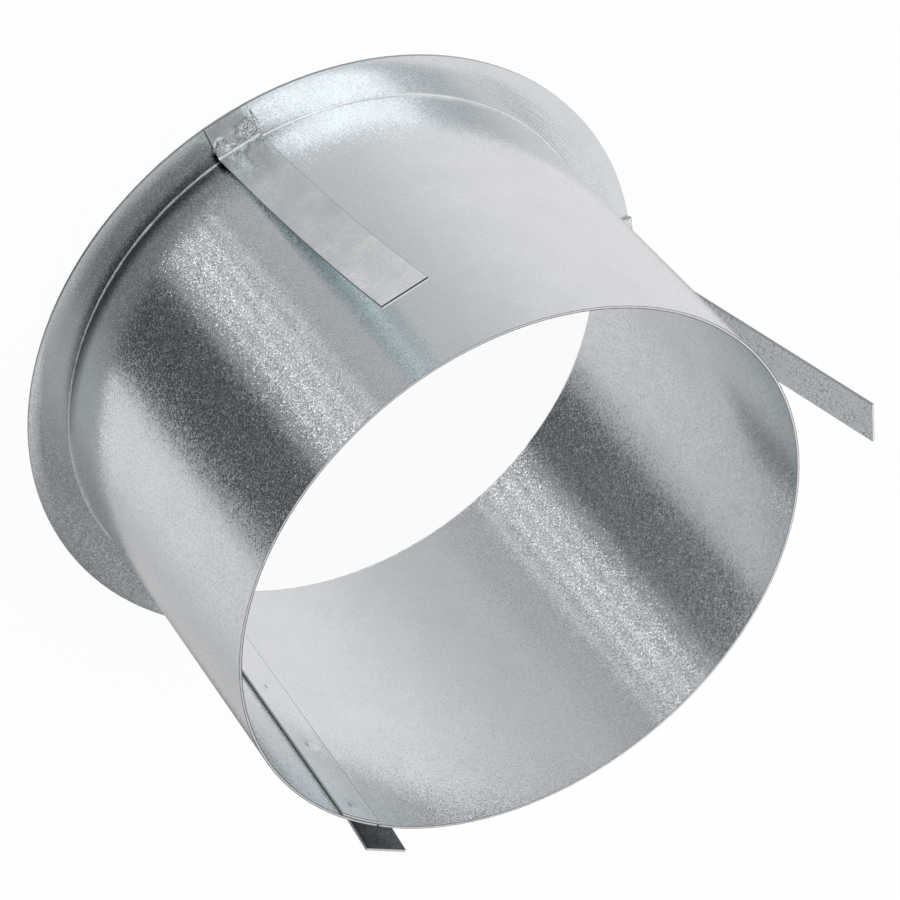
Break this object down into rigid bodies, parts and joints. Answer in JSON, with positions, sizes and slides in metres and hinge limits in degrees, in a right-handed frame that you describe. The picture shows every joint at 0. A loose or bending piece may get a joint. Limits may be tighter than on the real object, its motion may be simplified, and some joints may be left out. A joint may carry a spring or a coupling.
{
  "type": "ceiling sleeve",
  "caption": "Round galvanised sheet-steel duct sleeve with a flat flange, a lapped and spot-welded seam, and bendable fixing straps that hold it in a ceiling opening.",
  "frame": {"origin": "centre of the bore, in the plane of the flange's room-side face", "axes": "+Z along the bore from the flange to the free rim; -Y towards the side of the front strap; the sleeve stands on its flange"},
  "size_m": [0.1493, 0.1533, 0.0846],
  "materials": {
    "galvanised_sheet": "satin zinc coating with fine grain",
    "galvanised_strip": "satin zinc coating with faint spangle"
  },
  "bodies": {
    "root": {"flanged_sleeve": "galvanised_sheet", "front_strap": "galvanised_strip", "left_strap": "galvanised_strip", "right_strap": "galvanised_strip"}
  },
  "joints": []
}
